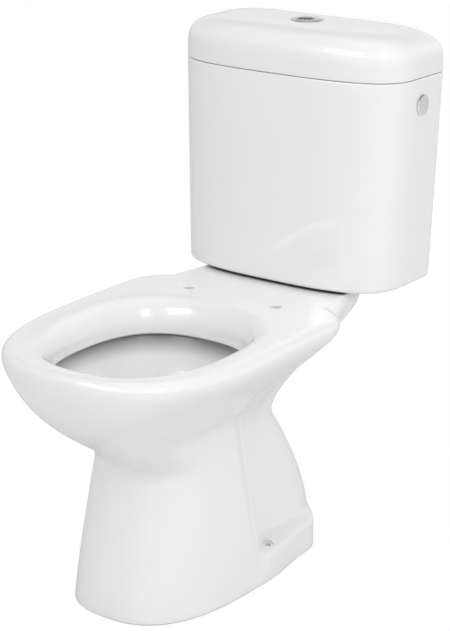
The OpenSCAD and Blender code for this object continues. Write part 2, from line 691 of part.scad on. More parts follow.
module at_inlet(x = 0, z = 0) translate([-x, side_y, side_z + z]) children();
module inlet_run(x_from, x_to, r, sides = fine)
    along_x(-x_from, side_y, side_z) cylinder(h = x_from - x_to, r = r, $fn = sides);

module fill_valve_body() color(brass) difference() {
    union() {
        inlet_run(flat_out + 26, flat_out + nut_t, shank_r);
        inlet_run(flat_out + nut_t, flat_in - washer_t - 1, neck_r);
        inlet_run(flat_in - washer_t, flat_in - washer_t - 5, 17);
        inlet_run(flat_in - washer_t - 5, body_end_x, 13);
        at_inlet(outlet_x, -26) cylinder(h = 20, r = 10, $fn = fine);
    }
    inlet_run(flat_out + 27, outlet_x - 6, 6.5);
    at_inlet(outlet_x, -30) cylinder(h = 30, r = 5.4, $fn = 32);
    at_inlet(outlet_x, -30) cylinder(h = 14, r = 7.02, $fn = 32);
}
module fill_valve_cap() color(plastic) {
    difference() {
        union() {
            inlet_run(body_end_x, cap_end_x, 15);
            for (side = [-1, 1]) at_inlet(pivot_x, 10) translate([-5, side * 6.5 - 1.5, 0])
                cube([10, 3, pivot_up - 10 + 4]);
        }
        at_inlet(pivot_x, pivot_up) rotate([90, 0, 0])
            cylinder(h = 60, r = pin_r + 0.02, center = true, $fn = 32);
    }
}
module fill_valve_nut() color(brass) difference() {
    inlet_run(flat_out + nut_t, flat_out, 17, 6);
    inlet_run(flat_out + nut_t + 1, flat_out - 1, neck_r + 0.02);
}
module shank_washer() color(rubber) difference() {
    inlet_run(flat_in, flat_in - washer_t, 17);
    inlet_run(flat_in + 1, flat_in - washer_t - 1, neck_r + 0.1);
}
module outlet_tube() color(plastic) at_inlet(outlet_x, 0) translate([0, 0, floor_z + 34 - side_z])
    ring(5.4, 7, side_z - 16 - floor_z - 34);
module float_lever() color(plastic) difference() {
    union() {
        at_inlet(pivot_x, pivot_up) translate([0, -4, -3]) cube([pivot_x - float_x, 8, 6]);
        at_inlet(pivot_x, pivot_up) rotate([90, 0, 0]) cylinder(h = 8, r = 4, center = true, $fn = 32);
        at_inlet(float_x, -float_drop - 20) cylinder(h = pivot_up + float_drop + 23, r = 4, $fn = 32);
    }
    at_inlet(pivot_x, pivot_up) rotate([90, 0, 0])
        cylinder(h = 60, r = pin_r + 0.05, center = true, $fn = 32);
}
module float() color(plastic) difference() {
    at_inlet(float_x, -float_drop - float_h) disc(float_r, float_h, 4);
    at_inlet(float_x, -float_drop - 20) cylinder(h = 30, r = 4.02, $fn = 32);
}
module float_pin() color(steel) at_inlet(pivot_x, pivot_up) rotate([90, 0, 0])
    cylinder(h = 18, r = pin_r, center = true, $fn = 32);

// ---- blanking plug in the spare hole ----
plug_r = 15.2;
plug_stem_r = side_hole_r - 0.6;
module at_plug() translate([side_x + 0.02, side_y, side_z]) rotate([0, 90 + side_tilt, 0]) children();
module side_plug() color(plastic) at_plug() difference() {
    union() {
        disc(plug_r, 2.8, 1);
        translate([0, 0, -cistern_wall - 9]) cylinder(h = cistern_wall + 10, r = plug_stem_r, $fn = fine);
    }
    translate([0, 0, -cistern_wall - 10]) cylinder(h = cistern_wall + 9, r = plug_stem_r - 2, $fn = fine);
    // release slot at the front edge
    translate([-6.5, -plug_r - 1, 1.4]) cube([3, 5, 2]);
}
module side_plug_nut() color(plastic) at_plug() translate([0, 0, -cistern_wall - 7])
    difference() {
        cylinder(h = 6.8, r = 17, $fn = 6);
        translate([0, 0, -1]) cylinder(h = 9, r = plug_stem_r + 0.05, $fn = fine);
    }

// ---- coupling set ----
bolt_r = 4;
bolt_end_z = bolt_seat_z - 26;
module coupling_bolts() color(brass) at_bolts() {
    translate([0, 0, floor_z + 3]) cylinder(h = 5.5, r = 8, $fn = 6);
    translate([0, 0, bolt_end_z]) cylinder(h = floor_z + 4 - bolt_end_z, r = bolt_r, $fn = 32);
}
module bolt_rubber_washers() color(rubber) at_bolts() translate([0, 0, floor_z])
    ring(bolt_r + 0.1, 14, 3);
module bolt_metal_washers() color(steel) at_bolts() translate([0, 0, bolt_seat_z - 2])
    ring(bolt_r + 0.2, 13, 2);
module wing_nuts() color(brass) at_bolts() translate([0, 0, bolt_seat_z - 11]) difference() {
    union() {
        cylinder(h = 9, r = 7, $fn = 32);
        for (side = [-1, 1]) translate([side * 10.5, 0, 1]) rotate([0, side * 20, 0])
            cube([9, 2.6, 11], center = true);
    }
    translate([0, 0, -6]) cylinder(h = 20, r = bolt_r + 0.02, $fn = 32);
}
pad_x = 92;
pad_y = valve_y - 20;
module cistern_pads() color(rubber) for (side = [-1, 1])
    translate([side * pad_x, pad_y, rim_h]) cylinder(h = cistern_gap, r = 9, $fn = fine);

pan();
cistern();
cistern_lid();
button_bezel();
bezel_nut();
full_flush_button();
full_flush_rod();
full_button_spring();
half_flush_button();
half_flush_rod();
half_button_spring();
flush_valve_base();
valve_base_washer();
flush_valve_nut();
close_coupling_washer();
flush_valve_cage();
overflow_tube();
valve_seal();
full_flush_rocker();
rocker_pin();
half_flush_link();
fill_valve_body();
fill_valve_cap();
fill_valve_nut();
shank_washer();
outlet_tube();
float_lever();
float();
float_pin();
side_plug();
side_plug_nut();
coupling_bolts();
bolt_rubber_washers();
bolt_metal_washers();
wing_nuts();
cistern_pads();
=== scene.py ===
import json
import math

import bpy
import numpy as np
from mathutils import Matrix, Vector
from mathutils.geometry import tessellate_polygon


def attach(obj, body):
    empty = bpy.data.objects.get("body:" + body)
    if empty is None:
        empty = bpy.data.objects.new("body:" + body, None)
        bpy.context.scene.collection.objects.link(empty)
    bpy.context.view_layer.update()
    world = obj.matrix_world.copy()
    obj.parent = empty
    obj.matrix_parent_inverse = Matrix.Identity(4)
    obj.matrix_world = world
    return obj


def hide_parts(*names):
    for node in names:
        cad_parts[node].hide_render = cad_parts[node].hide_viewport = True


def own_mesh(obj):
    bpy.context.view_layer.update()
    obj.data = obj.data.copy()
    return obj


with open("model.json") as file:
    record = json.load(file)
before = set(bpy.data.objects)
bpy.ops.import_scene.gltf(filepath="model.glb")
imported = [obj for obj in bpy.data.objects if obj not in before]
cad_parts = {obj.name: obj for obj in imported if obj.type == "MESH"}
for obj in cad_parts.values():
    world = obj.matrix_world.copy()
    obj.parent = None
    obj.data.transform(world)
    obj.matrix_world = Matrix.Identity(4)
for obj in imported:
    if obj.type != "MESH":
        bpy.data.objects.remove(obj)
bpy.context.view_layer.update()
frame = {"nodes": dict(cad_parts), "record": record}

# Close coupled toilet. The pan, cistern, lid, half flush cap and button springs are made here
# around the frame's solids; every other piece is the frame's own solid with a material.
# Shapes are in millimetres: +X to the sitter's left, -Y to the front, +Z up, and the origin
# is the centre of the waste outlet on the floor.

MM = 0.001
FINE = 2

# ---------------------------------------------------------------- materials
GLAZE_COLOR = (0.86, 0.86, 0.86)
# sockets of a Mix node that mixes colours
FACTOR, COLOR_A, COLOR_B, COLOR_OUT = 0, 6, 7, 2


def set_inputs(node, values):
    """Sets named input sockets of a shader node."""
    for socket, value in values.items():
        node.inputs[socket].default_value = value
    return node


def add_node(tree, kind, values=None):
    return set_inputs(tree.nodes.new(f"ShaderNode{kind}"), values or {})


def new_material(name):
    """A material with a Principled shader; also its tree, that shader and its output."""
    mat = bpy.data.materials.new(name)
    mat.use_nodes = True
    tree = mat.node_tree
    tree.nodes.clear()
    out = add_node(tree, "OutputMaterial")
    bsdf = add_node(tree, "BsdfPrincipled")
    tree.links.new(bsdf.outputs[0], out.inputs[0])
    return mat, tree, bsdf, out


def plain(name, color, low, high, metallic=0.0, coat=0.0, bump=(60.0, 0.05, 0.0005)):
    """One colour, with a faint unevenness that also spreads the roughness from low to high.
    The bump is the scale, strength and distance of that unevenness, in the object's metres."""
    mat, tree, bsdf, _ = new_material(name)
    set_inputs(bsdf, {"Base Color": (*color, 1), "Metallic": metallic,
                      "Coat Weight": coat, "Coat Roughness": 0.03})
    coords = add_node(tree, "TexCoord")
    noise = add_node(tree, "TexNoise", {"Scale": bump[0], "Detail": 3.0})
    relief = add_node(tree, "Bump", {"Strength": bump[1], "Distance": bump[2]})
    spread = add_node(tree, "MapRange", {"To Min": low, "To Max": high})
    tree.links.new(coords.outputs["Object"], noise.inputs["Vector"])
    tree.links.new(noise.outputs["Fac"], relief.inputs["Height"])
    tree.links.new(relief.outputs["Normal"], bsdf.inputs["Normal"])
    tree.links.new(noise.outputs["Fac"], spread.inputs["Value"])
    tree.links.new(spread.outputs["Result"], bsdf.inputs["Roughness"])
    return mat


def tree_of(mat):
    """A material's tree and its Principled shader."""
    tree = mat.node_tree
    return tree, next(n for n in tree.nodes if n.type == "BSDF_PRINCIPLED")


def paint_gap_shade(mat, color, reach, least):
    """Painted shade: the glaze's colour is darkened towards black where ambient occlusion finds
    deep gaps between pieces.
    """
    tree, bsdf = tree_of(mat)
    near = add_node(tree, "AmbientOcclusion", {"Distance": reach})
    near.samples = 8
    ramp = add_node(tree, "MapRange", {"From Min": 0.1, "From Max": 0.55, "To Min": least})
    tint = add_node(tree, "Mix")
    tint.data_type = "RGBA"
    tint.inputs[COLOR_A].default_value = (0, 0, 0, 1)
    tint.inputs[COLOR_B].default_value = (*color, 1)
    tree.links.new(near.outputs["AO"], ramp.inputs["Value"])
    tree.links.new(ramp.outputs["Result"], tint.inputs[FACTOR])
    tree.links.new(tint.outputs[COLOR_OUT], bsdf.inputs["Base Color"])


def paint_hollow_shade(mat, shade, coat):
    """Points marked as hollow, such as the inside of the bowl, get painted shade: their colour
    is multiplied darker and their coat is weaker.
    """
    tree, bsdf = tree_of(mat)
    mark = add_node(tree, "Attribute")
    mark.attribute_name = "hollow"
    source = bsdf.inputs["Base Color"].links[0].from_socket
    tint = add_node(tree, "Mix")
    tint.data_type, tint.blend_type = "RGBA", "MULTIPLY"
    tint.inputs[COLOR_B].default_value = (shade, shade, shade, 1)
    gloss = add_node(tree, "MapRange", {"To Min": 1.0, "To Max": coat})
    tree.links.new(mark.outputs["Fac"], tint.inputs[FACTOR])
    tree.links.new(source, tint.inputs[COLOR_A])
    tree.links.new(tint.outputs[COLOR_OUT], bsdf.inputs["Base Color"])
    tree.links.new(mark.outputs["Fac"], gloss.inputs["Value"])
    tree.links.new(gloss.outputs["Result"], bsdf.inputs["Coat Weight"])


glaze = plain("glaze", GLAZE_COLOR, 0.3, 0.36, coat=1.0, bump=(9.0, 0.05, 0.002))
# painted shade in the glaze's colour: darker in deep gaps, seams and holes
paint_gap_shade(glaze, GLAZE_COLOR, reach=0.009, least=0.12)
# painted shade in the glaze's colour inside the bowl, darkest under the lip
paint_hollow_shade(glaze, shade=0.36, coat=0.3)
chrome_satin = plain("chrome_satin", (0.8, 0.8, 0.81), 0.26, 0.34, metallic=0.75)
chrome_bright = plain("chrome_bright", (0.72, 0.73, 0.75), 0.04, 0.08, metallic=1.0)
plug_chrome = plain("plug_chrome", (0.95, 0.95, 0.96), 0.12, 0.18, metallic=1.0)
plastic = plain("plastic", (0.78, 0.79, 0.8), 0.3, 0.4)
rubber = plain("rubber", (0.05, 0.05, 0.055), 0.6, 0.75, bump=(300.0, 0.2, 0.0004))
brass = plain("brass", (0.72, 0.56, 0.28), 0.25, 0.35, metallic=1.0)
steel = plain("steel", (0.6, 0.6, 0.62), 0.25, 0.35, metallic=1.0)

# the solids that stay in sight take the look of their slot
SLOT_LOOK = {"glaze": glaze, "chrome": chrome_satin, "plastic": plastic, "rubber": rubber,
             "brass": brass, "steel": steel}
for part in frame["record"]["subparts"]:
    mesh = frame["nodes"][part["node"]].data
    mesh.materials.clear()
    mesh.materials.append(SLOT_LOOK[part["material_slot"]])
frame["nodes"]["side_plug"].data.materials[0] = plug_chrome

# ---------------------------------------------------------------- blending


def mix(a, b, t):
    return a + (b - a) * t


def ease(t):
    """From 0 to 1, level at both ends."""
    t = np.clip(t, 0, 1)
    return t * t * (3 - 2 * t)


def soft(t, e):
    """From 0 to 1, level at 0 and straight from about e on."""
    return (np.sqrt(t * t + e * e) - e) / (math.sqrt(1 + e * e) - e)


def swell(t, p, e):
    """From 0 to 1: it leaves 0 softly and rounds over into 1."""
    return 1 - (1 - soft(np.clip(t, 0, 1), e)) ** p


def squircle(t, n):
    """One quadrant of a superellipse, t in degrees: (0, 1) at t = 0, (1, 0) at t = 90."""
    t = np.radians(t)
    s, c = np.maximum(np.sin(t), 0), np.maximum(np.cos(t), 0)
    r = (s ** n + c ** n) ** (1 / n)
    return s / r, c / r


def curve(rows, count):
    """A smooth run through the rows of a table, count steps to each gap."""
    rows = np.array(rows, float)
    out = []
    last = len(rows) - 1
    for f in np.linspace(0, last, last * count + 1):
        i = min(int(f), last - 1)
        t = f - i
        a, b = rows[i], rows[i + 1]
        p, q = rows[max(i - 1, 0)], rows[min(i + 2, last)]
        out.append(0.5 * (2 * a + (b - p) * t + (2 * p - 5 * a + 4 * b - q) * t * t
                          + (3 * a - p - 3 * b + q) * t ** 3))
    return out


# ---------------------------------------------------------------- meshes


def level(x, y, z):
    """Points of x and y at the height z, or at a height for each."""
    return np.stack([x, y, np.broadcast_to(z, np.shape(x))], 1)


def mirrored(half):
    """The whole closed loop, from its right half that runs front to back."""
    half[0, 0] = half[-1, 0] = 0
    left = half[-2:0:-1].copy()
    left[:, 0] *= -1
    return np.concatenate([half, left])


def skin(name, loops, ends, flat=None):
    """A mesh object over closed loops of equal length, in millimetres. The band after the
    loop numbered flat lies in one plane, facing up, and is filled by triangles. The ends
    are closed by caps, or a ring joins the last loop to the first."""
    n, m = len(loops[0]), len(loops)
    verts = np.concatenate(loops) * MM
    rows = np.array([r for r in range(m if ends == "ring" else m - 1) if r != flat])
    j, k = np.meshgrid(rows, np.arange(n), indexing="ij")
    a, b, up = j * n, (k + 1) % n, ((j + 1) % m) * n
    quads = np.stack([a + k, a + b, up + b, up + k], -1).reshape(-1, 4)
    faces = quads.tolist()
    if flat is not None:
        for tri in tessellate_polygon([[Vector(p) for p in loops[flat + i]] for i in (0, 1)]):
            p, q, r = (verts[flat * n + i] for i in tri)
            up = (q[0] - p[0]) * (r[1] - p[1]) > (q[1] - p[1]) * (r[0] - p[0])
            faces.append([flat * n + i for i in (tri if up else tri[::-1])])
    if ends == "caps":
        faces += [list(range(n - 1, -1, -1)), list(range((m - 1) * n, m * n))]
    mesh = bpy.data.meshes.new(name)
    mesh.from_pydata(verts.tolist(), [], faces)
    obj = bpy.data.objects.new(name, mesh)
    bpy.context.scene.collection.objects.link(obj)
    return obj


def rod(r, low, high, at, turn=(0, 0, 0), r_high=None, sides=64):
    """A closed cylinder or cone along its own Z from low to high, set at a place and turned."""
    ring = [(math.cos(2 * math.pi * i / sides), math.sin(2 * math.pi * i / sides))
            for i in range(sides)]
    loops = [np.array([(q * x, q * y, z) for x, y in ring])
             for q, z in ((r, low), (r if r_high is None else r_high, high))]
    obj = skin("cutter", loops, "caps")
    obj.location = Vector(at) * MM
    obj.rotation_euler = [math.radians(t) for t in turn]
    return obj


def cut(obj, cutters):
    """Takes the cutters out of the object, as the real holes are."""
    for tool in cutters:
        mod = obj.modifiers.new("cut", "BOOLEAN")
        mod.operation, mod.solver, mod.object = "DIFFERENCE", "EXACT", tool
    bpy.context.view_layer.update()
    solid = obj.evaluated_get(bpy.context.evaluated_depsgraph_get())
    mesh = bpy.data.meshes.new_from_object(solid)
    obj.modifiers.clear()
    obj.data = mesh
    for tool in cutters:
        bpy.data.objects.remove(tool)


def dress(obj, mat, body, replaces, sharp=38):
    """Smooth shading, finish and place in the frame."""
    mesh = obj.data
    mesh.polygons.foreach_set("use_smooth", [True] * len(mesh.polygons))
    mesh.set_sharp_from_angle(angle=math.radians(sharp))
    mesh.materials.clear()
    mesh.materials.append(mat)
    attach(obj, body)
    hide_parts(*replaces)
    return obj


# ---------------------------------------------------------------- pan: outer skin
RIM_H, PAN_W, RIM_FRONT, DECK_BACK, DECK_W = 391.0, 370.0, 437.0, 199.0, 282.0
EDGE_R, CHINA = 19.0, 11.0
FOOT_W, FOOT_FRONT, FOOT_BACK, FOOT_ROUND = 235.0, 342.0, 72.0, 3.0
LEDGE_H, STEP_H = 42.0, 18.0
RECESS_W, WAIST_FRONT, WAIST_FRONT_H, WAIST_SIDE_H, NECK_H = 168.0, 289.0, 200.0, 257.0, 231.0
LEDGE_TOP = LEDGE_H + STEP_H
EDGE_Z = RIM_H - EDGE_R

# A horizontal section is ten sizes: the front's y, and the front round's half width and y
# at its end; half width and y where the side ends, where the step in ends and where the
# body ends; and the back's y. These are the sections of four levels.
FOOT = [-FOOT_FRONT, FOOT_W / 2, -141, FOOT_W / 2 + 0.5, -125,
        FOOT_W / 2 + 0.5, -107, FOOT_W / 2 - 12, 5, FOOT_BACK]
HEEL = [0, 0, 0, 0, 0, RECESS_W / 2, -109, RECESS_W / 2 + 5, -1, FOOT_BACK + 11]
WAIST = [-WAIST_FRONT, FOOT_W / 2 - 19, -178, FOOT_W / 2 - 27.5, -146,
         RECESS_W / 2 - 2, -135, RECESS_W / 2 - 7.5, -65, -14]
RIM = [-RIM_FRONT, PAN_W / 2, -191, PAN_W / 2, -60,
       DECK_W / 2 + 6, 5, DECK_W / 2 - 12.5, 83, DECK_BACK]
FRONT_SIZES, SIZES = 5, 10

# the power and the soft start of the swell from the waist to the rim
FRONT_SWELL, SIDE_SWELL, REAR_SWELL = (2.4, 0.22), (1.15, 0.15), (1.22, 0.45)
# how fast the foot's front leans back to the waist, and the heel to the neck
FRONT_LEAN, HEEL_LEAN = 1.3, 1.46
# how far along z a change of shape is softened, near the ledges' step and elsewhere
REACH_STEP, REACH = 3.0, 18.0
# superellipse powers of the front round, and of the back round at the neck and the edge
FRONT_ROUND, REAR_ROUND = 2.65, (2.1, 1.65)
# how far the step in turns into a round shoulder at the deck
SHOULDER = 0.82
# the share of the edge's rounding that the front and the back take
EDGE_FRONT, EDGE_REAR = 0.5, 0.35

# Positions along half a section, from its front to its back, at which each stretch ends:
# front round, side, step in, body and back round.
ROUND_END, SIDE_END, STEP_END, BODY_END, BACK_END = 8, 10, 14, 17, 24
ENDS = (0, ROUND_END, SIDE_END, STEP_END, BODY_END, BACK_END)
COUNTS = [FINE * n for n in (18, 4, 12, 6, 12)]
ALONG = np.concatenate([np.linspace(a, b, n + 1)[:-1] for a, b, n in zip(ENDS, ENDS[1:], COUNTS)]
                       + [[BACK_END]])
# the same positions as an angle in degrees round an egg
TURN = np.where(ALONG <= ROUND_END, 90 * ALONG / ROUND_END,
                90 + 90 * (ALONG - ROUND_END) / (BACK_END - ROUND_END))

# weights that soften a change along z
SPREAD = np.linspace(-1, 1, 17)
WEIGHT = (1 - SPREAD ** 2) ** 2
WEIGHT = WEIGHT / WEIGHT.sum()


def front_rail(i, z):
    """Size i of the front half at height z, from the foot over the waist to the rim."""
    waist_h = WAIST_FRONT_H if i == 0 else WAIST_SIDE_H
    up = (z - waist_h) / (EDGE_Z - waist_h)
    low = mix(FOOT[i], WAIST[i], np.clip(z / waist_h, 0, 1) ** (FRONT_LEAN if i == 0 else 1))
    high = mix(WAIST[i], RIM[i], swell(up, *(FRONT_SWELL if i == 0 else SIDE_SWELL)))
    return np.where(z < waist_h, low, high)


def back_rail(i, z):
    """Size i of the back half at height z: foot, step in over the ledges, neck and rim."""
    rise = np.clip((z - LEDGE_TOP) / (NECK_H - LEDGE_TOP), 0, 1) ** (HEEL_LEAN if i >= 8 else 1)
    up = (z - NECK_H) / (EDGE_Z - NECK_H)
    return np.where(z < LEDGE_TOP, mix(FOOT[i], HEEL[i], ease((z - LEDGE_H) / STEP_H)),
                    np.where(z < NECK_H, mix(HEEL[i], WAIST[i], rise),
                             mix(WAIST[i], RIM[i], swell(up, *REAR_SWELL))))


def section(z, soften=1.0):
    """The ten sizes of the horizontal section at height z, with soft changes along z."""
    out = []
    for i in range(SIZES):
        rail = front_rail if i < FRONT_SIZES else back_rail
        reach = REACH if i < FRONT_SIZES or z > LEDGE_TOP + 24 else REACH_STEP
        reach = max(min(reach, z, RIM_H - z), 0) * soften
        near = np.minimum(z + SPREAD * reach, EDGE_Z)
        out.append(float((rail(i, near) * WEIGHT).sum()))
    return out


def edge_in(z):
    """How far the rolled edge draws the section in."""
    reach = max(min(REACH, RIM_H - z), 0)
    u = np.clip((z + SPREAD * reach - EDGE_Z) / EDGE_R, 0, 1)
    return float((EDGE_R * (1 - np.sqrt(1 - u * u)) * WEIGHT).sum())


def drawn_in(s, d, rear=1.0, front=1.0):
    """The section s drawn in by d, and by a share of it at the front and the back."""
    return [s[0] + front * d, s[1] - d, s[2], s[3] - d, s[4] - 0.7 * d,
            s[5] - d, s[6] - 0.7 * d, s[7] - rear * d, s[8], s[9] - rear * d]


def section_half(s, n=REAR_ROUND[0], k=ALONG, shoulder=0.0):
    """The right half of the section s, as x and y."""
    qx, qy = squircle(90 * np.clip(k, 0, ROUND_END) / ROUND_END, FRONT_ROUND)
    x, y = s[1] * qx, s[2] - (s[2] - s[0]) * qy
    for i in (1, 2, 3):
        a, b = ENDS[i], ENDS[i + 1]
        t = np.clip((k - a) / (b - a), 0, 1)
        c = 2 * i - 1
        go_x, go_y = ease(t), t
        if a == SIDE_END:
            go_x = mix(go_x, 1 - np.cos(t * math.pi / 2), shoulder)
            go_y = mix(go_y, np.sin(t * math.pi / 2), shoulder)
        x = np.where(k > a, mix(s[c], s[c + 2], go_x), x)
        y = np.where(k > a, mix(s[c + 1], s[c + 3], go_y), y)
    qx, qy = squircle(90 * np.clip((k - BODY_END) / (BACK_END - BODY_END), 0, 1), n)
    return (np.where(k > BODY_END, s[7] * qy, x),
            np.where(k > BODY_END, s[8] + (s[9] - s[8]) * qx, y))


def skin_loop(z, d=0.0, at_z=None):
    """The section at height z, drawn in by d, and laid at another height if at_z is given."""
    n = mix(*REAR_ROUND, min(max((z - NECK_H) / (EDGE_Z - NECK_H), 0), 1))
    shoulder = SHOULDER * float(ease((z - WAIST_SIDE_H) / (EDGE_Z - WAIST_SIDE_H)))
    shares = (1.0, 1.0) if d else (EDGE_REAR, EDGE_FRONT)
    x, y = section_half(drawn_in(section(z), d + edge_in(z), *shares), n, shoulder=shoulder)
    return mirrored(level(x, y, z if at_z is None else at_z))


loops = [skin_loop(FOOT_ROUND - FOOT_ROUND * math.cos(a), FOOT_ROUND - FOOT_ROUND * math.sin(a))
         for a in np.radians((0, 30, 60))]
heights = np.unique(np.concatenate([
    np.linspace(FOOT_ROUND, LEDGE_H, 8), np.linspace(LEDGE_H, LEDGE_TOP, 10),
    np.linspace(LEDGE_TOP, EDGE_Z, 26 * FINE)]))
loops += [skin_loop(z) for z in heights]
loops += [skin_loop(EDGE_Z + EDGE_R * math.sin(a))
          for a in np.linspace(0, math.pi / 2, 10 * FINE)[1:]]
deck_edge = len(loops) - 1

# ---------------------------------------------------------------- pan: rim and bowl
OPEN_W, OPEN_FRONT, OPEN_BACK, OPEN_MID = 236.0, 375.0, 101.0, -230.0
# the roll from the rim down to the lip: its drop, and its reach at the front, side and back
ROLL_DROP, ROLL_FRONT, ROLL_SIDE, ROLL_BACK = 48.5, 54.0, 37.0, 30.0
# it turns over quickly at the top and then falls away steeply: share of the way, degrees
ROLL_SLOPE = (0, 0.45, 1), (0, 66, 88)
# thickness of the lip, width of the flush channel behind it, and the rim's dip at the front
LIP_T, RING_W, RIM_DIP = 10.0, 30.0, 3.0
LIP_Z = RIM_H - ROLL_DROP
EGG_ROUND, BOWL_ROUND = 2.5, 2.3

# front y, back y, half width and z, from under the lip down
BOWL = [[-393, -83, 136, LIP_Z + 3], [-383, -97, 126, 322], [-369, -115, 108, 298],
        [-342, -130, 86, 268], [-303, -138, 71, 238], [-268, -140, 61, 208],
        [-247, -140, 53, 184]]
# y and z of the near wall, y and z of the far wall, and half width: under the bowl, up over
# the weir, and down to the outlet
TRAP = [[-236, 160, -139, 172, 49], [-212, 130, -136, 168, 45], [-165, 113, -130, 166, 42],
        [-118, 120, -126, 170, 42], [-90, 150, -124, 190, 42], [-76, 186, -121, 222, 42],
        [-69, 218, -110, 262, 42], [-64, 223, -70, 280, 42], [-59, 216, -36, 258, 42],
        [-54, 190, -12, 206, 42], [-48, 150, 16, 165, 42], [-44, 118, 34, 128, 42],
        [-43, 97, 43, 97, 43], [-43, 0, 43, 0, 43]]
SPIGOT_R, SPIGOT_H = 51, 80


def egg_loop(front, back, half_w, mid, z, n=EGG_ROUND):
    """An egg from front to back that is widest at mid."""
    x, y = squircle(np.where(TURN <= 90, TURN, 180 - TURN), n)
    far = np.where(TURN <= 90, front - mid, back - mid)
    return mirrored(level(half_w * x, mid + far * y, z))


def open_loop(d, z):
    """The outline of the opening, widened by d."""
    return egg_loop(-OPEN_FRONT - d, -OPEN_BACK + d, OPEN_W / 2 + d, OPEN_MID, z)


def trap_loop(p, q, a):
    """A section of the trap between p and q, each y and z, with the half width a."""
    t = np.radians(TURN)
    m = (1 - np.cos(t)) / 2
    return mirrored(np.stack([a * np.sin(t), mix(p[0], q[0], m), mix(p[1], q[1], m)], 1))


slope = np.radians(np.interp(np.linspace(0, 1, 16 * FINE), *ROLL_SLOPE))
across, down = np.cumsum(np.cos(slope)), np.cumsum(np.sin(slope))
for out, low in zip(1 - across / across[-1], down / down[-1]):
    loops.append(egg_loop(-OPEN_FRONT - ROLL_FRONT * out, -OPEN_BACK + ROLL_BACK * out,
                          OPEN_W / 2 + ROLL_SIDE * out, OPEN_MID, RIM_H - ROLL_DROP * low))
# the rim dips a little towards the front
for loop in loops:
    loop[:, 2] -= (RIM_DIP * ease((-loop[:, 1] - 110) / 300)
                   * ease((loop[:, 2] - LIP_Z) / ROLL_DROP))
hollow_from = len(loops)
# round the lip, up its back and round the flush channel
loops += [open_loop(1.2, LIP_Z - 2.2), open_loop(LIP_T / 2, LIP_Z - 3), open_loop(LIP_T, LIP_Z),
          open_loop(LIP_T, RIM_H - 34), open_loop(RING_W, RIM_H - 21),
          open_loop(RING_W, LIP_Z + 14), open_loop(RING_W - 4, LIP_Z + 9)]
loops += [egg_loop(front, back, a, mix(front, back, 0.53), z, BOWL_ROUND)
          for front, back, a, z in curve(BOWL, 3 * FINE)]
loops += [trap_loop(r[0:2], r[2:4], r[4]) for r in curve(TRAP, 2)]
loops += [trap_loop((-SPIGOT_R, z), (SPIGOT_R, z), SPIGOT_R) for z in (0, SPIGOT_H)]

# ---------------------------------------------------------------- pan: hollow of the foot
# the ceiling of the hollow: over the front round, and at the back round's end
CEILING_FRONT, CEILING, CEILING_BACK = 182, 200, 92
HOLLOW_LEVELS = (1, 0.82, 0.64, 0.48, 0.36, 0.26, 0.14, 0)
toward_back = ease((ALONG - STEP_END) / (BACK_END - STEP_END))
ceiling = np.where(ALONG <= ROUND_END, mix(CEILING_FRONT, CEILING, ALONG / ROUND_END),
                   np.where(ALONG <= STEP_END, CEILING, mix(CEILING, CEILING_BACK, toward_back)))


def block_loop(front, back, a, a_back, z):
    """A loop round the block that holds the trap, in the hollow of the foot."""
    x, y = section_half([front, a, -178, a - 3, -146, a_back + 2, -135, a_back, -20, back])
    return mirrored(level(x, y, z))


def inner_loop(f):
    """A loop of the hollow's wall, at share f of its height."""
    half = []
    for k, z in zip(ALONG, f * ceiling):
        skin_z = z if z < 20 or z >= LEDGE_TOP else min(z + CHINA, LEDGE_TOP)
        x, y = section_half(drawn_in(section(skin_z, 0.0), CHINA), k=np.array([k]))
        half.append([x[0], y[0], z])
    return mirrored(np.array(half))


loops += [block_loop(-225, 56, 54, 55, mix(100, 84, toward_back)),
          block_loop(-250, 56, 59, 55, mix(142, 88, toward_back)),
          block_loop(-258, 57, 62, 55, ceiling)]
loops += [inner_loop(f) for f in HOLLOW_LEVELS]
pan = skin("pan_glazed", loops, "ring", deck_edge)
# painted shade inside the bowl: how much each point's colour is darkened, most just under the
# lip
shade = [np.maximum(1 - ease((LIP_Z - 6 - loop[:, 2]) / 32), 0.08) * (i >= hollow_from)
         for i, loop in enumerate(loops)]
hollow = pan.data.attributes.new("hollow", "FLOAT", "POINT")
hollow.data.foreach_set("value", np.concatenate(shade))

# ---------------------------------------------------------------- pan: holes
VALVE_Y, BOLT_X = 143.3, 75.0
SEAT_X, SEAT_Y, SCREW_X, SCREW_Y = 77.5, -43.6, 102.0, -94.0
SOCKET_R, FLUSH_R = 41.5, 29
SEAT_R, SEAT_SINK_R = 7.5, 10
SCREW_R, SCREW_HEAD_R = 5, 8.5
BOLT_R, BOLT_POCKET_R = 6, 17
tools = [rod(SOCKET_R, 380, 420, (0, VALVE_Y, 0)), rod(FLUSH_R, 364, 400, (0, VALVE_Y, 0))]
for side in (-1, 1):
    tools += [rod(SEAT_R, 340, 400, (side * SEAT_X, SEAT_Y, 0)),
              rod(SEAT_R, 0, 2.5, (side * SEAT_X, SEAT_Y, RIM_H - 1.2), r_high=SEAT_SINK_R),
              rod(SCREW_R, 10, 70, (side * SCREW_X, SCREW_Y, 0)),
              rod(SCREW_HEAD_R, LEDGE_H + 5, LEDGE_H + 35, (side * SCREW_X, SCREW_Y, 0)),
              rod(BOLT_R, 320, 410, (side * BOLT_X, VALVE_Y, 0)),
              rod(BOLT_POCKET_R, 334, 364, (side * BOLT_X, VALVE_Y, 0))]
cut(pan, tools)
dress(pan, glaze, "fixed", ["pan"])

# ---------------------------------------------------------------- cistern
CIST_Z, CIST_H, CIST_BACK, CIST_WALL = 394.0, 308.0, 216.0, 9.0
SEAM_Z, FLOOR_Z, BOW_Y = CIST_Z + CIST_H, CIST_Z + 12, 141.8
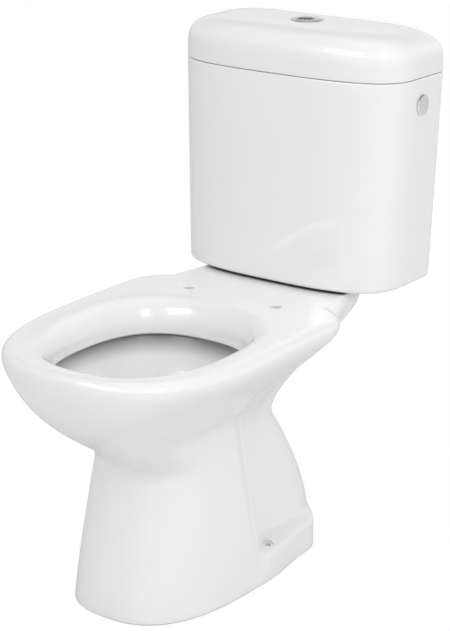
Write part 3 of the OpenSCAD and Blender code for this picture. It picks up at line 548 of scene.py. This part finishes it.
# half width, depth of the bowed front and radius of the back corners, at the foot and the lid
CIST_A, BOWS, CORNERS = (182.0, 191.5), (97.5, 87.0), (19.0, 9.0)
BOW_ROUND, FOOT_EDGE_R, SEAM_EDGE_R = 3.06, 6, 2.5
quarter = np.linspace(0, math.pi / 2, 5 * FINE)


def cistern_half(a, bow, d, corner):
    """The right half of the cistern's outline: a bowed front, flat sides and a square back."""
    r = max(corner - d, 2)
    ax, yb = a - d, CIST_BACK - d
    qx, qy = squircle(np.linspace(0, 90, 30 * FINE + 1), BOW_ROUND)
    t = np.radians(np.linspace(0, 90, 5 * FINE + 1))
    x = np.concatenate([ax * qx, ax - r + r * np.cos(t), [0]])
    y = np.concatenate([BOW_Y - (bow - d) * qy, yb - r + r * np.sin(t), [yb]])
    return x, y


def cistern_loop(d, z):
    """The cistern's outline at height z, drawn in by d."""
    f = (z - CIST_Z) / CIST_H
    return mirrored(level(*cistern_half(mix(*CIST_A, f), mix(*BOWS, f), d, mix(*CORNERS, f)), z))


loops = [cistern_loop(FOOT_EDGE_R * (1 - math.sin(a)), CIST_Z + FOOT_EDGE_R * (1 - math.cos(a)))
         for a in quarter]
loops += [cistern_loop(0, z)
          for z in np.linspace(CIST_Z + FOOT_EDGE_R, SEAM_Z - SEAM_EDGE_R, 14)[1:]]
loops += [cistern_loop(SEAM_EDGE_R * (1 - math.cos(a)),
                       SEAM_Z - SEAM_EDGE_R + SEAM_EDGE_R * math.sin(a)) for a in quarter[1:]]
loops += [cistern_loop(CIST_WALL - SEAM_EDGE_R, SEAM_Z),
          cistern_loop(CIST_WALL, SEAM_Z - SEAM_EDGE_R),
          cistern_loop(CIST_WALL, FLOOR_Z + 14), cistern_loop(CIST_WALL + 4, FLOOR_Z + 4),
          cistern_loop(CIST_WALL + 14, FLOOR_Z)]
cistern = skin("cistern_glazed", loops, "caps")

# the holes of both sides lie square to walls that lean out by TILT degrees
SIDE_Y, SIDE_Z, SIDE_X, TILT = 155.9, 663.0, 190.3, 1.77
VALVE_R, SIDE_R, COUPLING_R = 28.5, 11.48, 5.5
tools = [rod(VALVE_R, 390, 410, (0, VALVE_Y, 0)),
         rod(SIDE_R, -20, 20, (-SIDE_X, SIDE_Y, SIDE_Z), (0, 90, 0)),
         rod(SIDE_R, -20, 20, (SIDE_X, SIDE_Y, SIDE_Z), (0, 90 + TILT, 0))]
tools += [rod(COUPLING_R, 390, 410, (side * BOLT_X, VALVE_Y, 0)) for side in (-1, 1)]
cut(cistern, tools)
dress(cistern, glaze, "fixed", ["cistern"])

# ---------------------------------------------------------------- lid
LID_Z, LID_H, LID_WALL, LID_MID = SEAM_Z + 0.4, 65.0, 8.0, BOW_Y + 14
BUTTON_Z = LID_Z + LID_H - 1.4
# powers of the dome's side, and the radius that its back corners grow to at the top
DOME_SIDE, DOME_TURN, DOME_CORNER = 4.6, 6, 62
# how far in the tongue that drops into the cistern starts and ends, and its drop
TONGUE_OUT, TONGUE_IN, TONGUE_DROP = 10.5, 15.5, 8
LID_EDGE_R = 2
BEZEL_R, BEZEL_SINK_R = 20.4, 24


def lid_loop(d, z):
    """The lid's outline at its foot, drawn in by d."""
    return mirrored(level(*cistern_half(CIST_A[1], BOWS[1], d, CORNERS[1]), z))


def dome_loop(d, f):
    """A loop of the dome at share f of its height; its back corners grow rounder upwards."""
    x, y = cistern_half(CIST_A[1], BOWS[1], d, mix(CORNERS[1], DOME_CORNER, f ** 5))
    s = (1 - f ** DOME_SIDE) ** (1 / DOME_TURN)
    return mirrored(level(x * s, LID_MID + (y - LID_MID) * s, LID_Z + (LID_H - d) * f))


rise = 1 - (1 - np.linspace(0, 1, 22 * FINE)[1:-1]) ** 2.2
rise = np.concatenate([rise, [0.99995, 0.9999999]])
# from the inside of the dome down, round the tongue, and up the outside
loops = [dome_loop(LID_WALL, f) for f in (0.999, 0.97, 0.9, 0.75, 0.55, 0.3)]
loops += [lid_loop(TONGUE_IN, LID_Z + 6), lid_loop(TONGUE_IN, LID_Z - TONGUE_DROP),
          lid_loop(TONGUE_OUT, LID_Z - TONGUE_DROP), lid_loop(TONGUE_OUT, LID_Z),
          lid_loop(LID_EDGE_R, LID_Z)]
loops += [lid_loop(LID_EDGE_R * (1 - math.sin(a)), LID_Z + LID_EDGE_R * (1 - math.cos(a)))
          for a in quarter[1:]]
loops += [dome_loop(0, f) for f in rise if LID_H * f > 2 * LID_EDGE_R]
lid = skin("lid_glazed", loops, "caps")
cut(lid, [rod(BEZEL_R, 690, 790, (0, VALVE_Y, 0)),
          rod(BEZEL_SINK_R, BUTTON_Z, 790, (0, VALVE_Y, 0))])
dress(lid, glaze, "lid", ["cistern_lid"])

# ---------------------------------------------------------------- buttons
# the polished cap of the half flush button: place, radius, depth below the bezel's foot,
# height of its side and rise of its domed top
CAP_X, CAP_R, CAP_T, CAP_SIDE, CAP_RISE, CAP_ROUND = -2.6, 13.5, 4.0, 2.8, 3.2, 2.2
around = np.radians(np.arange(0, 360, 5))
across, up = squircle(np.linspace(90, 0, 12 * FINE + 1)[:-1], CAP_ROUND)
profile = [(CAP_R, BUTTON_Z - CAP_T)]
profile += [(CAP_R * a, BUTTON_Z + CAP_SIDE + CAP_RISE * b) for a, b in zip(across, up)]
loops = [level(CAP_X + r * np.cos(around), VALVE_Y + r * np.sin(around), z) for r, z in profile]
dress(skin("half_button_cap", loops, "caps"), chrome_bright, "half_button",
      ["half_flush_button"])

# the springs in the button's cup
TRAVEL, CUP_FOOT = 6.0, BUTTON_Z - 26.0
SPRING_R, WIRE_R, SPRING_H, SPRING_TURNS = 3.2, 0.45, 11.7, 4
around = np.radians(np.arange(0, 360, 30))
for button, x in (("full", 13.6), ("half", -7.0)):
    loops = []
    for t in np.linspace(0, 1, 28 * SPRING_TURNS + 1):
        turn = 2 * math.pi * SPRING_TURNS * t
        out = SPRING_R + WIRE_R * np.cos(around)
        loops.append(level(
            x + out * math.cos(turn), VALVE_Y + out * math.sin(turn),
            CUP_FOOT + mix(WIRE_R, SPRING_H - WIRE_R, t) - WIRE_R * np.sin(around)))
    spring = dress(skin(f"{button}_spring_coil", loops, "caps"), steel, "lid",
                   [f"{button}_button_spring"])
    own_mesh(spring)

# ---------------------------------------------------------------- camera
CAM_AT, CAM_AIM = (1.6101, -2.2704, 1.2691), (0.0, -0.075, 0.4)
LENS, SHIFT_X, SHIFT_Y = 114.07, 0.01016, -0.03032
scene = bpy.context.scene
cam_data = bpy.data.cameras.new("camera")
cam = bpy.data.objects.new("camera", cam_data)
scene.collection.objects.link(cam)
cam.location = CAM_AT
cam.rotation_euler = (Vector(CAM_AIM) - cam.location).to_track_quat("-Z", "Y").to_euler()
cam_data.sensor_width = 36.0
cam_data.lens = LENS
cam_data.shift_x, cam_data.shift_y = SHIFT_X, SHIFT_Y
cam_data.clip_end = 50
scene.camera = cam

# ---------------------------------------------------------------- stage
FLOOR_SIZE, FLOOR_LOW = 30, -0.0005
FLOOR_COLOR = (0.78, 0.78, 0.78, 1)
# what the camera sees of the floor: the share and the strength of a bright sweep
SWEEP_SHARE, SWEEP_LEVEL = 0.9, 1.04
corners = [(-1, -1), (1, -1), (1, 1), (-1, 1)]
floor_mesh = bpy.data.meshes.new("floor")
floor_mesh.from_pydata([(FLOOR_SIZE * x, FLOOR_SIZE * y, FLOOR_LOW) for x, y in corners],
                       [], [(0, 1, 2, 3)])
floor = bpy.data.objects.new("floor", floor_mesh)
scene.collection.objects.link(floor)
# the camera sees a bright sweep with a faint shadow; other rays see the plain floor
floor_mat, tree, bsdf, surface = new_material("floor_white")
floor_mesh.materials.append(floor_mat)
set_inputs(bsdf, {"Base Color": FLOOR_COLOR, "Roughness": 0.9, "Specular IOR Level": 0.1})
paths = add_node(tree, "LightPath")
share = add_node(tree, "Math")
share.operation = "MULTIPLY"
share.inputs[1].default_value = SWEEP_SHARE
glow = add_node(tree, "Emission", {"Color": (1, 1, 1, 1), "Strength": SWEEP_LEVEL})
blend = add_node(tree, "MixShader")
tree.links.new(paths.outputs["Is Camera Ray"], share.inputs[0])
tree.links.new(share.outputs[0], blend.inputs[0])
tree.links.new(bsdf.outputs[0], blend.inputs[1])
tree.links.new(glow.outputs[0], blend.inputs[2])
tree.links.new(blend.outputs[0], surface.inputs[0])

# ---------------------------------------------------------------- world
WORLD_LEVEL = 0.7
# what reflections see from the ground (0) to straight up (1): pale walls all round, with
# the dark of the room above them
WALL_LEVELS = [(0.0, 0.8), (1.0, 0.3), (0.3, 0.8), (0.6, 0.15), (0.85, 0.15), (0.95, 0.3)]
world = bpy.data.worlds.new("world")
scene.world = world
world.use_nodes = True
tree = world.node_tree
tree.nodes.clear()
out = add_node(tree, "OutputWorld")
paths = add_node(tree, "LightPath")
seen = add_node(tree, "Background", {"Color": (1, 1, 1, 1), "Strength": 1.0})
lit = add_node(tree, "Background", {"Color": (1, 1, 1, 1), "Strength": WORLD_LEVEL})
mirrored_room = add_node(tree, "Background", {"Strength": 1.0})
gloss = add_node(tree, "MixShader")
pick = add_node(tree, "MixShader")
where = add_node(tree, "TexCoord")
split = add_node(tree, "SeparateXYZ")
ramp = add_node(tree, "ValToRGB")
stops = ramp.color_ramp.elements
for i, (at, room) in enumerate(WALL_LEVELS):
    stop = stops[i] if i < 2 else stops.new(at)
    stop.position, stop.color = at, (room, room, room, 1)
tree.links.new(where.outputs["Generated"], split.inputs[0])
tree.links.new(split.outputs["Z"], ramp.inputs[0])
tree.links.new(ramp.outputs["Color"], mirrored_room.inputs["Color"])
tree.links.new(paths.outputs["Is Glossy Ray"], gloss.inputs[0])
tree.links.new(lit.outputs[0], gloss.inputs[1])
tree.links.new(mirrored_room.outputs[0], gloss.inputs[2])
tree.links.new(paths.outputs["Is Camera Ray"], pick.inputs[0])
tree.links.new(gloss.outputs[0], pick.inputs[1])
tree.links.new(seen.outputs[0], pick.inputs[2])
tree.links.new(pick.outputs[0], out.inputs[0])

# ---------------------------------------------------------------- lamps
LAMP_AIM = Vector((0, -0.1, 0.45))


def softbox(name, az, el, dist, size, radiance, mirrored_only=False):
    """A rectangular lamp aimed at the bowl; az from the front towards +X, el up, in degrees.
    It either lights the room or shows as a window in the glaze."""
    az, el = math.radians(az), math.radians(el)
    away = Vector((math.cos(el) * math.sin(az), -math.cos(el) * math.cos(az), math.sin(el)))
    data = bpy.data.lights.new(name, "AREA")
    data.shape = "RECTANGLE"
    data.size, data.size_y = size
    data.energy = math.pi * radiance * size[0] * size[1]
    lamp = bpy.data.objects.new(name, data)
    lamp.location = LAMP_AIM + dist * away
    lamp.rotation_euler = (-away).to_track_quat("-Z", "Y").to_euler()
    lamp.visible_glossy = mirrored_only
    lamp.visible_diffuse = not mirrored_only
    scene.collection.objects.link(lamp)


softbox("key_right", 75, 35, 3.2, (2.0, 2.0), 2.3)
softbox("fill_front", 0, 26, 3.2, (1.8, 0.5), 4.0)
softbox("overhead_right", 77, 63, 3.0, (1.3, 1.0), 1.5)
softbox("overhead_left", -40, 78, 3.0, (1.5, 1.2), 1.5)
softbox("window_wide", -5, 27, 3.2, (1.75, 0.8), 9.0, mirrored_only=True)
softbox("window_narrow", 52, 27, 3.2, (0.75, 0.7), 11.0, mirrored_only=True)

scene.view_settings.view_transform = "Standard"
